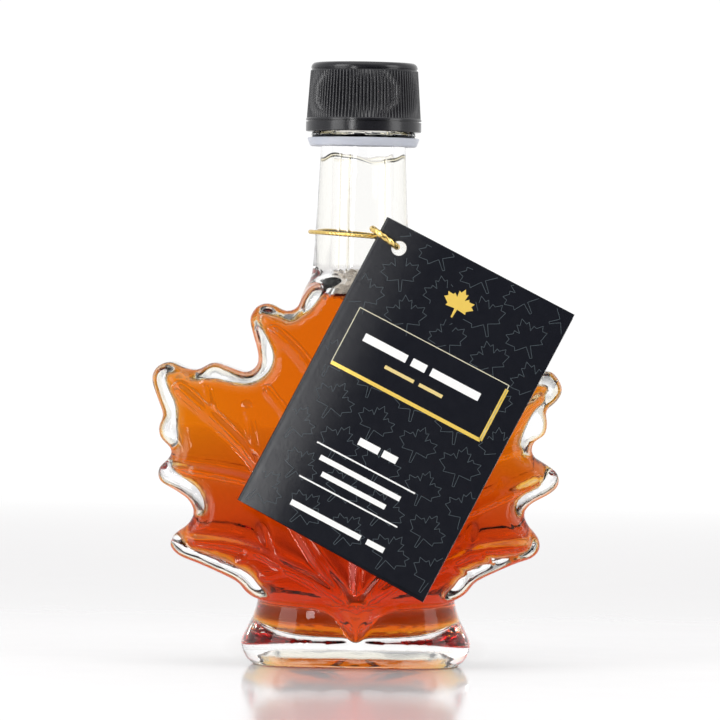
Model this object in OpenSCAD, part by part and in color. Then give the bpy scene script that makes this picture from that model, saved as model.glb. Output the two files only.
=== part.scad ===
// Leaf-shaped glass syrup bottle with a ribbed screw cap, a collar and a folded tag on a gold loop.
// Millimetres. The bottle stands on z = 0, its front faces -Y and its neck runs up the Z axis.

/* [Leaf body] */
// Width over the widest lobes
leaf_w = 94; // [80:1:110]
// Height of the leaf, from the top of the foot to the shoulder
leaf_h = 72; // [62:1:84]
// Depth of the belly, low on the leaf
low_depth = 39; // [34:0.2:44]
// Depth of the leaf's upper lobes, at the middle
high_depth = 25; // [23:0.2:29]
// Height above the foot where the belly begins to swell
belly_top = 40; // [30:1:50]
// How much each face falls back from the middle to the lobe tips
crown = 2.2; // [1:0.1:3]
// Radius of the rounding round the leaf's rim
rim = 2.6; // [1.5:0.1:3]
// Radius of the rounding round the hollow's rim
hollow_round = 1.4; // [0.8:0.1:1.6]
// Thickness of the front and back walls
wall = 3.6; // [3:0.1:5]
// Width of a vein at its foot
vein_w = 2.8; // [2:0.1:4]
// Height of a vein above the face
vein_h = 0.7; // [0.4:0.1:1]

/* [Foot] */
// Width of the foot at its widest
foot_w = 52.6; // [46:0.2:60]
// Depth of the foot at its widest
foot_d = 37.5; // [34:0.5:42]
// Height of the foot, up to its waist
foot_h = 16; // [13:0.5:20]
// Width of the waist, where the leaf stands on the foot
waist_w = 45.4; // [40:0.2:48]
// Depth of the waist
waist_d = 33.5; // [30:0.5:36]
// Height of the foot's widest ring
foot_bulge_z = 5; // [3:0.5:7]
// Thickness of the glass under the syrup
floor_t = 7.5; // [5:0.5:9]

/* [Neck] */
// Diameter of the neck where it leaves the shoulder
neck_low_d = 22; // [20:0.2:24]
// Step of the neck in from the finish, under the collar
neck_step = 1.4; // [0.8:0.1:2]
// Height of the neck, from the shoulder to the collar
neck_h = 31; // [24:1:40]
// Diameter of the bore
bore_d = 14; // [11:0.5:15]
// Height of the syrup's surface above the foot
fill_h = 68.4; // [62:0.2:70]

/* [Finish and collar] */
// Height of the finish above its bead
finish_h = 13.8; // [12:0.2:16]
// How far the glass bead below the cap stays inside the cap's edge
bead_back = 1.25; // [0.5:0.05:1.6]
// Height of the bead
bead_h = 1.4; // [1:0.1:2]
// How far the collar's top edge stays inside the cap's edge
collar_back = 0.35; // [0:0.05:0.8]
// How far the collar draws in from its top edge to its bottom edge
collar_taper = 0.6; // [0.2:0.1:1]
// Height of the collar
collar_h = 2; // [1.5:0.1:3]

/* [Cap] */
// Diameter of the smooth band at the cap's lower edge
cap_d = 26.5; // [26.5:0.1:29]
// How far the ribbed skirt draws in from the band to its top
cap_taper = 1.05; // [0.4:0.05:1.3]
// Thickness of the ribbed skirt at its top
skirt_t = 0.85; // [0.7:0.05:1.2]
// Height of the cap
cap_h = 15.8; // [15.6:0.1:18]
// Height of the smooth band
band_h = 3; // [2:0.1:4]
// Height of the slit that parts the band from the skirt
slit_h = 0.3; // [0.2:0.1:0.5]
// Height of the slit above the cap's lower edge
slit_up = 2.2; // [1:0.1:2.4]
// Radius of the cap's top edge
cap_round = 1.8; // [1:0.1:2]
// Number of ribs round the skirt
rib_n = 96; // [48:4:110]
// Depth of the grooves between the ribs
rib_depth = 0.3; // [0.2:0.05:0.4]

/* [Gold loop and link] */
// Thickness of the loop round the neck
loop_t = 1; // [0.8:0.1:1.2]
// Slack of the loop round the neck, measured to the middle of its cord
loop_slack = 3.6; // [3.2:0.2:5]
// Height of the loop above the shoulder
loop_up = 10.4; // [8:0.2:16]
// Tilt of the loop, down towards the tag
loop_tilt = 4; // [0:0.5:6]
// Thickness of the link that holds the tag
link_t = 1.5; // [1.2:0.1:1.6]
// Diameter of the link, at the middle of its wire
link_d = 6.9; // [6.7:0.1:7.2]

/* [Tag] */
// Width of the folded tag
tag_w = 47.4; // [36:0.5:52]
// Height of the tag
tag_h = 72.6; // [60:1:80]
// Thickness of the card
card_t = 0.4; // [0.3:0.05:0.5]
// Gap between the leaves at the open edge
tag_open = 1.6; // [0.8:0.1:3]
// Diameter of the tag's hole
hole_d = 3.5; // [3.2:0.1:4]
// Distance from the hole's middle to the fold and to the tag's top edge
hole_in = 5.1; // [4.5:0.1:7]
// Turn of the tag in its own plane
tag_turn = 27; // [15:0.5:35]

/* [Hidden] */

$fn = 72;

// Clearances
syrup_gap = 0.3;       // between the syrup and the glass
cap_gap = 0.25;        // between the cap and the finish
collar_gap = 0.15;     // between the collar and the neck
link_play = 0.4;       // between the link and the edge of the tag's hole
cord_gap = 0.95;       // between the link and the loop inside it
loop_gap = 0.3;        // between the loop and the back of the neck

// Heights, from the floor up
shoulder_z = foot_h + leaf_h;
collar_z = shoulder_z + neck_h;
bead_z = collar_z + collar_h;
cap_z = bead_z + bead_h;
finish_top = cap_z + finish_h;
fill_z = foot_h + fill_h;
loop_z = shoulder_z + loop_up;

// Diameters of the finish, the collar and the loop
cap_top_d = cap_d - 2 * cap_taper;
finish_d = cap_top_d - 2 * (skirt_t + cap_gap);
neck_top_d = finish_d - 2 * neck_step;
bead_d = cap_d - 2 * bead_back;
collar_top_d = cap_d - 2 * collar_back;
collar_low_d = collar_top_d - 2 * collar_taper;
loop_d = neck_low_d + loop_slack;

// Small sizes that do not change the look
foot_square = 0.72;    // bluntness of the foot's oval, 1 is an ellipse
foot_round = 2.2;      // rounding under the foot
foot_wall = 2.6;       // glass round the syrup inside the foot, at its sides
lip_round = 0.8;       // bevel round the mouth
bead_round = 0.4;      // bevel of the bead and the collar
shoulder_up = 4;       // height of the shoulder's slope above the leaf
shoulder_down = 3;     // how far the shoulder is set into the leaf
shoulder_w = 50;       // width of the shoulder where it leaves the leaf
vein_sink = 1.2;       // how deep a vein's foot is set into the glass
band_step = 0.2;       // step from the cap's band in to the skirt
slit_in = 0.5;         // depth of the slit
groove_w = 0.36;       // width of a groove between two ribs
tag_fall = 0.8;        // how far the tag's face hangs in front of the link's middle
lean_gap = 0.7;        // how far the belly is let into the tag's slope, where it curves away
lean_share = 0.35;     // share of the belly's height where the tag comes nearest to it

// The outlines are drawn for a leaf of these sizes and then stretched to leaf_w and leaf_h.
drawn_w = 94;
drawn_h = 72;
// Each point is [distance out from the middle, height above the foot], from the waist up.
left_rim = [
    [6, -3.4], [19, -1.6], [22.6, -0.4], [25, 1.2], [27, 3.4], [31, 5.4], [36, 7.5], [40.4, 9.2],
    [42.5, 11.5], [41.6, 14], [38.6, 16.3], [37.3, 19], [38.7, 21.9], [42.2, 24.2],
    [45.2, 26], [45.5, 28.8], [43.2, 31.2], [42.8, 33.2], [45.2, 35.7], [45.7, 38.2],
    [44.8, 41], [46, 44.5], [47.4, 48.8], [46.5, 51.7], [43.4, 53.1], [40, 51.8],
    [37, 51.4], [33.5, 53.1], [30, 52.2], [26, 51], [23.5, 52.6], [23.3, 55.5],
    [24.6, 60.2], [25.2, 63.4], [23.4, 66.2], [20.5, 66.7], [17, 65.1], [14.4, 66.1],
    [13, 69], [9, 71.5]
];
right_rim = [
    [6, -3.4], [19, -1.6], [22.6, 0], [25, 1.8], [27, 4.2], [31, 6.3], [36, 8.5], [40, 10],
    [41.6, 12.3], [40.9, 14.8], [38.8, 17.3], [37.9, 19.8], [39.5, 22], [43.8, 24.4],
    [45.7, 26.4], [45.4, 29], [42.6, 31.1], [39.8, 33], [39.9, 35.8], [42.4, 37.7],
    [43, 40.4], [42.7, 43.2], [44.9, 45.2], [46.3, 47.8], [45.3, 50.5], [43, 52.3],
    [37.4, 51.3], [33.5, 53.1], [30, 52.2], [26, 51], [23.5, 52.6],
    [23.3, 55.5], [24.6, 60.2], [25.2, 63.4], [23.4, 66.2], [20.5, 66.7], [17, 65.1],
    [14.4, 66.1], [13, 69], [9, 71.5]
];
// The hollow follows the rim from just above the foot, with a smoother line.
left_hollow = [
    [14, -1], [21.2, 1.4], [24.6, 4.6], [30.5, 7.6], [36.5, 9.6], [40, 11.8],
    [39.4, 14.6], [36.2, 16.8], [35, 19.6], [36.6, 23.4], [40.2, 26.2], [42, 28.6],
    [41.3, 32.5], [42, 38], [42.3, 43], [44.2, 47.4], [44.7, 49.9], [43.4, 51], [40.6, 50.3],
    [37, 49.3], [33, 49.9], [29, 49], [25, 48.7], [21.5, 50.8], [20.1, 54.5], [21.4, 58.5],
    [23.2, 62.4], [22.8, 64.5], [20.2, 64.3], [16, 63], [12, 65.6], [6.5, 71]
];
right_hollow = [
    [14, -1], [21.2, 1.8], [24.6, 5.4], [30.5, 8.4], [36, 10], [39.4, 12.4],
    [38.8, 15], [36.6, 17.6], [36, 20.4], [37.6, 23.6], [41.6, 26], [43.2, 27.8],
    [40.8, 30.4], [37.8, 32.6], [37.2, 35.6], [38.6, 39.6], [40, 43.6], [42, 46.2],
    [43.6, 47.8], [42.9, 49.3], [40.4, 49.5], [37, 49.2], [33, 49.9], [29, 49], [25, 48.7],
    [21.5, 50.8], [20.1, 54.5], [21.4, 58.5], [23.2, 62.4], [22.8, 64.5], [20.2, 64.3],
    [16, 63], [12, 65.6], [6.5, 71]
];
// Veins run from the stem's root out to the lobes. Points are as in the outlines, x to the right.
vein_root = [0, -2];
veins = [
    [vein_root, [-8.5, 3.4], [-16, 7], [-22, 10.2], [-29, 12.2], [-37, 12.8]],
    [vein_root, [8.5, 3.4], [16, 6.6], [22, 9.2], [28, 11.6], [38, 12.8]],
    [vein_root, [-8.5, 8], [-17, 21], [-26.4, 34], [-41, 47]],
    [vein_root, [7.5, 7], [16, 20], [26, 31], [41, 46.4]],
    [[-12.5, 14], [-19, 23.5], [-27, 26.9], [-41.5, 29.2]],
    [[11, 12], [17, 16.6], [26, 20.4], [40.6, 27]],
    [[-4, 38], [-12.4, 53], [-19.6, 60.4]],
    [[4, 38], [12.4, 53], [19.6, 60.4]],
    [vein_root, [0, 62]]
];

steps = 2;             // pieces between one outline point and the next
leaf_mid = 26;         // height above the foot of the point that the faces close on

// Catmull-Rom curve through b and c
function bend(a, b, c, d, t) =
    0.5 * (2 * b + (c - a) * t + (2 * a - 5 * b + 4 * c - d) * t * t
    + (3 * b - a - 3 * c + d) * t * t * t);
function smooth_loop(p) = [
    for (i = [0 : len(p) - 1], k = [0 : steps - 1])
        bend(p[(i + len(p) - 1) % len(p)], p[i], p[(i + 1) % len(p)], p[(i + 2) % len(p)], k / steps)
];
function flip(p) = [for (i = [len(p) - 1 : -1 : 0]) p[i]];
// Left side upwards, then right side downwards, in the bottle's own millimetres
function outline(left, right) = smooth_loop([
    for (p = concat([for (q = left) [-q[0], q[1]]], flip(right)))
        [p[0] * leaf_w / drawn_w, foot_h + p[1] * leaf_h / drawn_h]
]);
function on_leaf(p) = [p[0] * leaf_w / drawn_w, foot_h + p[1] * leaf_h / drawn_h];
// From 0 at belly_top to 1 at the foot, with a soft start and end
function belly(z) =
    let (t = min(1, max(0, 1 - (z - foot_h) / belly_top)))
    t * t * (3 - 2 * t);
function half_depth(x, z) =
    (high_depth + (low_depth - high_depth) * belly(z)) / 2 - crown * pow(2 * x / leaf_w, 2);

// A point of the loop moved inwards by d
function unit(v) = v / norm(v);
function inward(p, i) =
    let (
        n = len(p),
        t = unit(p[(i + 1) % n] - p[(i + n - 1) % n]),
        to_mid = unit([0, foot_h + leaf_mid] - p[i])
    )
    unit([t[1], -t[0]] + 0.35 * to_mid);
function inset(p, d) = [for (i = [0 : len(p) - 1]) p[i] + d * inward(p, i)];
function pull(p, share) = [for (q = p) q + share * ([0, foot_h + leaf_mid] - q)];

// A closed cushion over an outline: a rounded rim, then faces that follow half_depth
// through a ring halfway in, which takes one point for every four of the rim's
module cushion(edge, round_r, less) {
    n = len(edge);
    m = n / 4;
    angles = [0, 45, 90];
    rims = [for (a = angles) inset(edge, round_r * (1 - cos(a)))];
    last = len(angles) - 1;
    halfway = pull([for (j = [0 : m - 1]) rims[last][4 * j]], 0.5);
    function lifted(ring, lift, side) = [
        for (q = ring) [q[0], side * lift * (half_depth(q[0], q[1]) - less), q[1]]
    ];
    mid_y = half_depth(0, foot_h + leaf_mid) - less;
    rim_rows = concat(
        [for (r = [last : -1 : 0]) lifted(rims[r], sin(angles[r]), -1)],
        [for (r = [1 : last]) lifted(rims[r], sin(angles[r]), 1)]
    );
    rows = len(rim_rows);
    points = concat(
        [for (row = rim_rows) each row],
        lifted(halfway, 1, -1),
        lifted(halfway, 1, 1),
        [[0, -mid_y, foot_h + leaf_mid], [0, mid_y, foot_h + leaf_mid]]
    );
    in_front = rows * n;
    in_back = in_front + m;
    front = in_back + m;
    back = front + 1;
    faces = concat(
        [for (r = [0 : rows - 2], i = [0 : n - 1])
            each quad(r * n + i, r * n + (i + 1) % n, (r + 1) * n + (i + 1) % n, (r + 1) * n + i)],
        [for (j = [0 : m - 1]) each face_patch(0, in_front, front, j, n, m)],
        [for (j = [0 : m - 1]) each [
            for (f = face_patch((rows - 1) * n, in_back, back, j, n, m)) flip(f)
        ]]
    );
    polyhedron(points, faces);
}
// The triangles between four steps of the rim, one step of the ring halfway in, and the middle
function face_patch(rim_0, ring_0, mid, j, n, m) =
    let (a = ring_0 + j, b = ring_0 + (j + 1) % m)
    concat(
        [for (k = [0 : 3]) [rim_0 + 4 * j + k, rim_0 + (4 * j + k + 1) % n, k < 2 ? a : b]],
        [[rim_0 + 4 * j + 2, b, a], [mid, a, b]]
    );
function quad(a, b, c, d) = [[a, d, c], [a, c, b]];

// A stack of flat ovals, each given as [height, half width, half depth]
module oval_stack(levels, square_share) {
    n = 44;
    // Superellipse: blunter than an ellipse by square_share
    function oval(l) = [
        for (i = [0 : n - 1])
            let (a = 360 * i / n, c = cos(a), s = sin(a))
            [l[1] * sign(c) * pow(abs(c), square_share), l[2] * sign(s) * pow(abs(s), square_share), l[0]]
    ];
    count = len(levels);
    points = [for (l = levels) each oval(l)];
    faces = concat(
        [[for (i = [0 : n - 1]) i]],
        [for (r = [0 : count - 2], i = [0 : n - 1])
            each quad(r * n + i, r * n + (i + 1) % n, (r + 1) * n + (i + 1) % n, (r + 1) * n + i)],
        [[for (i = [n - 1 : -1 : 0]) (count - 1) * n + i]]
    );
    polyhedron(points, faces);
}

// ---- glass ----
module foot() {
    w = foot_w / 2;
    d = foot_d / 2;
    ww = waist_w / 2;
    wd = waist_d / 2;
    lift = foot_h - foot_bulge_z;
    // The side swings in from the widest ring to the waist on a cosine
    function swing(t) = (1 - cos(180 * t)) / 2;
    oval_stack(concat(
        [for (a = [0 : 30 : 60]) [foot_round * (1 - cos(a)) * 0.6,
            w - foot_round * (1 - sin(a)), d - foot_round * (1 - sin(a))]],
        [for (t = [0 : 0.2 : 1]) [foot_bulge_z + lift * t, w + (ww - w) * swing(t), d + (wd - d) * swing(t)]],
        [[foot_h + 3, ww - 1.5, wd - 1]]
    ), foot_square);
}

module shoulder() {
    hull() {
        translate([0, 0, shoulder_z + shoulder_up])
            cylinder(h = 0.5, d = neck_low_d, $fn = 48);
        translate([0, 0, shoulder_z - shoulder_down])
            oval_slab(shoulder_w / 2 * leaf_w / drawn_w, high_depth - hollow_round, 0.5);
    }
}
module oval_slab(w, d, h) {
    linear_extrude(h)
        hull()
            for (side = [-1, 1])
                translate([side * (w - 20) / 2, 0])
                    scale([1, d / 20])
                        circle(d = 20, $fn = 40);
}

module neck_solid() {
    rotate_extrude($fn = 48)
        polygon([
            [0, shoulder_z - 2], [neck_low_d / 2, shoulder_z - 2], [neck_low_d / 2, shoulder_z + shoulder_up],
            [neck_top_d / 2 + 0.5, collar_z - 12], [neck_top_d / 2, collar_z], [neck_top_d / 2, bead_z],
            [bead_d / 2 - bead_round, bead_z], [bead_d / 2, bead_z + bead_h / 2],
            [bead_d / 2 - bead_round, cap_z], [finish_d / 2, cap_z],
            [finish_d / 2, finish_top - lip_round], [finish_d / 2 - lip_round, finish_top],
            [0, finish_top]
        ]);
}

// One vein on one face: a ridge with a flat foot, mitred at each point and fading out at its end
module vein(path, side) {
    last = len(path) - 1;
    function along(k) = unit(path[min(k + 1, last)] - path[max(k - 1, 0)]);
    function knot(k) =
        let (
            p = on_leaf(path[k]),
            across = [-along(k)[1], along(k)[0]],
            face = half_depth(p[0], p[1]),
            top = face + (k == last ? -0.3 : vein_h)
        ) [
            for (c = [[-1 / 2, face - vein_sink], [-1 / 6, top], [1 / 6, top], [1 / 2, face - vein_sink]])
                [p[0] + c[0] * vein_w * across[0], side * c[1], p[1] + c[0] * vein_w * across[1]]
        ];
    for (k = [0 : last - 1])
        hull()
            polyhedron(concat(knot(k), knot(k + 1)), box_faces);
}
box_faces = [[0, 1, 2, 3], [7, 6, 5, 4], [0, 4, 5, 1], [1, 5, 6, 2], [2, 6, 7, 3], [3, 7, 4, 0]];
// The stem's ridge runs on down the front of the foot and fades out above the floor
module stem() {
    root = on_leaf(vein_root);
    for (side = [-1, 1])
        hull() {
            translate([0, side * (half_depth(0, root[1]) - 3), root[1] - 3])
                rotate([-side * 90, 0, 0])
                    cylinder(h = 3 + vein_h, d1 = 12, d2 = 4, $fn = 16);
            translate([0, side * (foot_d / 2 - 3), foot_bulge_z])
                rotate([-side * 90, 0, 0])
                    cylinder(h = 3.4, d1 = 5, d2 = 2, $fn = 16);
        }
}

module hollow(gap) {
    cushion(inset(outline(left_hollow, right_hollow), gap), hollow_round, wall + gap);
    side = waist_w / 2 - foot_wall - gap;
    front = waist_d / 2 - wall - gap;
    // Down into the foot
    oval_stack([
        [floor_t + gap, side - foot_wall, front - 2 * foot_wall],
        [floor_t + hollow_round + gap, side, front - 1],
        [foot_h + 1, side, front],
        [foot_h + 4, side, front - 0.6]
    ], foot_square);
    // Up into the neck
    translate([0, 0, shoulder_z - 7])
        cylinder(h = finish_top, d = bore_d - 2 * gap, $fn = 48);
}

module bottle() {
    color([0.93, 0.95, 0.95, 0.4])
        difference() {
            union() {
                cushion(outline(left_rim, right_rim), rim, 0);
                foot();
                shoulder();
                neck_solid();
                stem();
                for (v = veins, side = [-1, 1])
                    vein(v, side);
            }
            hollow(0);
        }
}

module syrup() {
    color([0.85, 0.38, 0.02])
        intersection() {
            hollow(syrup_gap);
            translate([-leaf_w, -leaf_w, 0])
                cube([2 * leaf_w, 2 * leaf_w, fill_z]);
        }
}

// ---- cap and collar ----
rib_top = cap_h - cap_round - 0.3;
module cap() {
    slope = (cap_taper - band_step) / (cap_h - band_h);
    color([0.16, 0.16, 0.18])
        difference() {
            rotate_extrude()
                polygon(concat(
                    [[finish_d / 2 + cap_gap, cap_z], [cap_d / 2, cap_z], [cap_d / 2, cap_z + slit_up],
                     [cap_d / 2 - slit_in, cap_z + slit_up], [cap_d / 2 - slit_in, cap_z + slit_up + slit_h],
                     [cap_d / 2, cap_z + slit_up + slit_h], [cap_d / 2, cap_z + band_h],
                     [cap_d / 2 - band_step, cap_z + band_h]],
                    [for (a = [0 : 15 : 90])
                        [cap_top_d / 2 - cap_round * (1 - cos(a)), cap_z + cap_h - cap_round * (1 - sin(a))]],
                    [[0, cap_z + cap_h], [0, finish_top], [finish_d / 2 + cap_gap, finish_top]]
                ));
            for (i = [0 : rib_n - 1])
                rotate([0, 0, 360 * (i + 0.5) / rib_n])
                    translate([cap_d / 2 - band_step, 0, cap_z + band_h])
                        rotate([0, -atan(slope), 0])
                            translate([-rib_depth, -groove_w / 2, 0])
                                cube([2, groove_w, rib_top - band_h]);
        }
}

module collar() {
    color([0.75, 0.8, 0.88, 0.8])
        rotate_extrude()
            polygon([
                [neck_top_d / 2 + collar_gap, collar_z], [collar_low_d / 2 - bead_round, collar_z],
                [collar_low_d / 2, collar_z + bead_round], [collar_top_d / 2, bead_z - bead_round],
                [collar_top_d / 2 - bead_round, bead_z], [neck_top_d / 2 + collar_gap, bead_z]
            ]);
}

// ---- gold loop, link and tag ----
// The loop leans on the back of the neck and stands off its front
neck_r_at_loop = neck_low_d / 2 - 0.25;
loop_y = neck_r_at_loop + loop_gap - (loop_d - loop_t) / 2;
loop_x = 0.9;
module ring(d, t) {
    rotate_extrude()
        translate([d / 2, 0])
            circle(d = t, $fn = 20);
}
module neck_loop() {
    color([0.8, 0.62, 0.25])
        translate([loop_x, loop_y, loop_z])
            rotate([0, loop_tilt, 0])
                ring(loop_d, loop_t);
}

// The link hangs where the loop passes behind the tag's corner
link_turn = 36;        // its fall to the right
link_x = 5.2;
link_reach = sqrt(pow(loop_d / 2, 2) - pow(link_x - loop_x, 2));
link_cord_y = loop_y - link_reach;
link_z = loop_z - (link_x - loop_x) * tan(loop_tilt);
// The loop's cord lies inside the link, against its back
link_y = link_cord_y + loop_t / 2 + link_t / 2 + cord_gap - link_d / 2;
module link() {
    color([0.84, 0.66, 0.28])
        translate([link_x, link_y, link_z])
            rotate([0, link_turn, 0])
                ring(link_d, link_t);
}

// The tag hangs with the upper edge of its hole just off the link's wire
hole_out = link_d / 2 + (hole_d - link_t) / 2 - link_play;
hole_x = link_x + hole_out * cos(link_turn);
hole_z = link_z - hole_out * sin(link_turn);
tag_y = link_y - tag_fall;
// Its top leans back towards the neck, as far as the belly lets it
tag_lean = atan((low_depth / 2 - lean_gap + tag_y) / (hole_z - foot_h - lean_share * belly_top));
tag_yaw = 3;           // its open edge stands a little forwards
fold_t = 2 * card_t + 0.5;
module tag() {
    color([0.1, 0.1, 0.13])
        translate([hole_x, tag_y, hole_z])
            rotate([-tag_lean, 0, 0])
                rotate([0, tag_turn, 0])
                    rotate([0, 0, -tag_yaw])
                        difference() {
                            translate([-hole_in, 0, hole_in - tag_h])
                                linear_extrude(tag_h)
                                    folded_card();
                            rotate([90, 0, 0])
                                cylinder(h = 4 * fold_t, d = hole_d, center = true);
                        }
}
// Section across the fold: the back leaf is flat and the front leaf bows away from it
module folded_card() {
    bow = [for (t = [0 : 0.1 : 1]) [tag_w * t, -(fold_t / 2 + (tag_open - 0.5) * sin(90 * min(1, t * 2.5)))]];
    polygon(concat(
        [[tag_w, fold_t / 2], [0, fold_t / 2]],
        [for (a = [30 : 30 : 150]) [-fold_t / 2 * sin(a), fold_t / 2 * cos(a)]],
        bow,
        flip([for (p = bow) [p[0], p[1] + card_t]]),
        [[0, fold_t / 2 - card_t], [tag_w, fold_t / 2 - card_t]]
    ));
}

bottle();
syrup();
cap();
collar();
neck_loop();
link();
tag();
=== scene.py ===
# %% [markdown]
# # A leaf-shaped bottle of maple syrup
# This lesson builds the looks of a small gift bottle: clear moulded glass shaped like a maple leaf,
# amber syrup inside, a ribbed screw cap, a milky collar, and a folded black card tag on a gold cord.
# Sizes are written in millimetres and turned into metres when a mesh is made.

# %% Load the exact parts
import math
import random
import bmesh
import bpy
import numpy as np
from mathutils import Matrix, Vector


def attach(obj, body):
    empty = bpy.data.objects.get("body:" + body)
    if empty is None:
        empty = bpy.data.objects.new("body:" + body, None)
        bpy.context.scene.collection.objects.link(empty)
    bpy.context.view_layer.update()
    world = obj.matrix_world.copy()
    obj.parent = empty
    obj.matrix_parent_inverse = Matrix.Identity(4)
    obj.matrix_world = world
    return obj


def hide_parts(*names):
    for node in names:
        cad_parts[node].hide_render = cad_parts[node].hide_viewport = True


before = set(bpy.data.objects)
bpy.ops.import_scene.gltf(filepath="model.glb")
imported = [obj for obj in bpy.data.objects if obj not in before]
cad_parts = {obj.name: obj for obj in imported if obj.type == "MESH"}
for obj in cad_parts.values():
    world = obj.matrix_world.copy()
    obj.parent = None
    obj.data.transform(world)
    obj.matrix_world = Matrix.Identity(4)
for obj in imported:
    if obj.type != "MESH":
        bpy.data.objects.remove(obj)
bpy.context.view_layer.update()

random.seed(4)
MM = 0.001
print("parts:", sorted(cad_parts))

# %% [markdown]
# ## Small helpers
# A material is a web of nodes. Wiring each by hand is slow to read, so a small class wraps a socket and
# lets shader maths read like ordinary sums: every sign adds one node. With it come a noise, a mix of two
# colours, and one function that makes a whole material.

# %% Shader maths
class Value:
    def __init__(self, tree, socket):
        self.tree, self.socket = tree, socket

    def math(self, kind, *others):
        n = self.tree.nodes.new("ShaderNodeMath")
        n.operation = kind
        for k, v in enumerate((self, *others)):
            plug(self.tree, v, n.inputs[k])
        return Value(self.tree, n.outputs[0])

    def __add__(self, o): return self.math("ADD", o)
    def __radd__(self, o): return self.math("ADD", o)
    def __sub__(self, o): return self.math("SUBTRACT", o)
    def __rsub__(self, o): return number(self.tree, o).math("SUBTRACT", self)
    def __mul__(self, o): return self.math("MULTIPLY", o)
    def __rmul__(self, o): return self.math("MULTIPLY", o)
    def __truediv__(self, o): return self.math("DIVIDE", o)
    def __rtruediv__(self, o): return number(self.tree, o).math("DIVIDE", self)


def plug(tree, value, socket):
    if isinstance(value, Value):
        tree.links.new(value.socket, socket)
    elif isinstance(value, (tuple, list)):
        socket.default_value = (*value, 1.0)[:len(socket.default_value)]
    else:
        socket.default_value = value


def number(tree, v):
    n = tree.nodes.new("ShaderNodeValue")
    n.outputs[0].default_value = v
    return Value(tree, n.outputs[0])


def node(tree, kind, out=0, inputs=None, **settings):
    """One node of any kind, with its inputs filled in by name or number."""
    n = tree.nodes.new(kind)
    for k, v in settings.items():
        setattr(n, k, v)
    for k, v in (inputs or {}).items():
        plug(tree, v, n.inputs[k])
    return Value(tree, n.outputs[out])


def noise(tree, scale, detail=3.0, rough=0.5):
    where = node(tree, "ShaderNodeTexCoord", out="Object")
    return node(tree, "ShaderNodeTexNoise",
        inputs={"Vector": where, "Scale": scale, "Detail": detail, "Roughness": rough})


def mix(tree, share, a, b):
    n = tree.nodes.new("ShaderNodeMix")
    n.data_type = "RGBA"
    plug(tree, share, n.inputs[0])
    plug(tree, a, n.inputs[6])
    plug(tree, b, n.inputs[7])
    return Value(tree, n.outputs[2])


def material(name, colour, rough, extra=None, bump=None, volume=None):
    """A Principled material. colour and rough are plain values or functions of the tree, bump is
    (height, strength, distance) and volume is (colour, density)."""
    m = bpy.data.materials.new(name)
    m.use_nodes = True
    t = m.node_tree
    p = next(n for n in t.nodes if n.type == "BSDF_PRINCIPLED")
    plug(t, colour(t) if callable(colour) else colour, p.inputs["Base Color"])
    plug(t, rough(t) if callable(rough) else rough, p.inputs["Roughness"])
    for k, v in (extra or {}).items():
        plug(t, v, p.inputs[k])
    if bump:
        height, strength, distance = bump
        b = node(t, "ShaderNodeBump", inputs={"Height": height(t), "Strength": strength, "Distance": distance})
        plug(t, b, p.inputs["Normal"])
    if volume:
        absorb = node(t, "ShaderNodeVolumeAbsorption", inputs={"Color": volume[0], "Density": volume[1]})
        out = next(n for n in t.nodes if n.type == "OUTPUT_MATERIAL")
        t.links.new(absorb.socket, out.inputs["Volume"])
    return m


# %% [markdown]
# A mesh is made from points in millimetres. Smooth shading suits glass, plastic and cord alike, but a
# moulded edge has to stay crisp, so edges sharper than a chosen angle can be marked.

# %% Making a piece
def piece(name, points, faces, mat, smooth=True, replaces=None, ride=True):
    mesh = bpy.data.meshes.new(name)
    places = [tuple(p) for p in np.asarray(points, float) * MM]
    mesh.from_pydata(places, [], [tuple(int(i) for i in f) for f in faces])
    mesh.validate()
    mesh.materials.append(mat)
    mesh.polygons.foreach_set("use_smooth", [smooth] * len(mesh.polygons))
    o = bpy.data.objects.new(name, mesh)
    bpy.context.scene.collection.objects.link(o)
    if ride:
        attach(o, "root")
        if replaces:
            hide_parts(replaces)
    triangles = sum(len(p.vertices) - 2 for p in mesh.polygons)
    print(f"{name}: {len(mesh.vertices)} points, {triangles} triangles")
    return o


def crease(o, degrees=35):
    """Keeps edges sharper than this angle crisp under smooth shading."""
    bm = bmesh.new()
    bm.from_mesh(o.data)
    for e in bm.edges:
        e.smooth = not (e.is_manifold and e.calc_face_angle(0) > math.radians(degrees))
    bm.to_mesh(o.data)
    bm.free()


def to_bmesh(points, faces):
    bm = bmesh.new()
    vs = [bm.verts.new(p) for p in points]
    for f in faces:
        bm.faces.new([vs[i] for i in f])
    return bm


def from_bmesh(bm):
    """Points and faces of a bmesh, with its normals turned outward."""
    bmesh.ops.recalc_face_normals(bm, faces=bm.faces)
    points = [tuple(v.co) for v in bm.verts]
    bm.verts.index_update()
    faces = [[v.index for v in f.verts] for f in bm.faces]
    bm.free()
    return points, faces


# %% [markdown]
# ## The sizes
# These are the same sizes as the exact bottle: the leaf's width, its depth over the belly and higher
# up, and the heights of the foot, collar, bead and cap. The leaf's rim and hollow are lists of points
# from the stem up, left and right, because the two sides of a real leaf differ a little. A vein is a
# line on the face with a width and a height. Heights of the leaf count from the top of the foot.

# %% Sizes
leaf_w, foot_h = 94.0, 16.0
low_depth, high_depth, belly_top, crown = 39.0, 25.0, 40.0, 2.2
wall, rim_round = 3.6, 2.6
collar_z, bead_z, cap_z, finish_top = 119.0, 121.0, 122.4, 136.2
cap_r, cap_top_r, cap_h, band_h = 13.25, 12.2, 15.8, 3.0
bore_r, fill_z, floor_z = 7.0, 84.4, 6.2
finish_r, bead_r = 11.1, 12.0

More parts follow.
